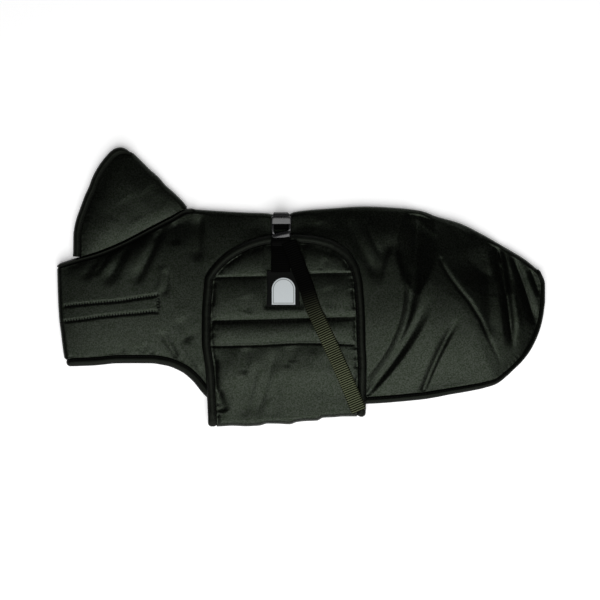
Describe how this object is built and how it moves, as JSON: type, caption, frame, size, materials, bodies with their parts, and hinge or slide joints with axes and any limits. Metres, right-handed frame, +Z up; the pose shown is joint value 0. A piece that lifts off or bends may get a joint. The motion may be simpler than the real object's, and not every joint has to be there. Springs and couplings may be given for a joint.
{
  "type": "dog raincoat",
  "caption": "Padded dog raincoat with a stand-up collar, bound edges and a belly flap held by a side-release buckle, folded along its back and laid flat.",
  "frame": {"origin": "on the resting face under the far half, below the middle of the belly flap", "axes": "+X along the back towards the tail end, +Y up the page towards the back fold, +Z up from the floor"},
  "size_m": [0.5362, 0.3066, 0.0193],
  "materials": {
    "coated_cloth": "coated plain-weave polyester over thin wadding, soft sheen",
    "binding_tape": "matt woven bias tape",
    "ribbed_webbing": "ribbed webbing with a slight sheen on the ribs",
    "buckle_plastic": "glossy moulded plastic",
    "woven_label": "woven patch with a plain pale arched panel"
  },
  "bodies": {
    "root": {"body_shell": "coated_cloth", "collar": "coated_cloth", "belly_flap": "coated_cloth", "edge_tape": "binding_tape", "collar_tape": "binding_tape", "flap_tape": "binding_tape", "neck_piping": "binding_tape", "girth_strap": "ribbed_webbing", "flap_webbing": "ribbed_webbing", "strap_loose_end": "ribbed_webbing", "buckle_housing": "buckle_plastic", "buckle_bar": "buckle_plastic", "label": "woven_label"}
  },
  "joints": []
}
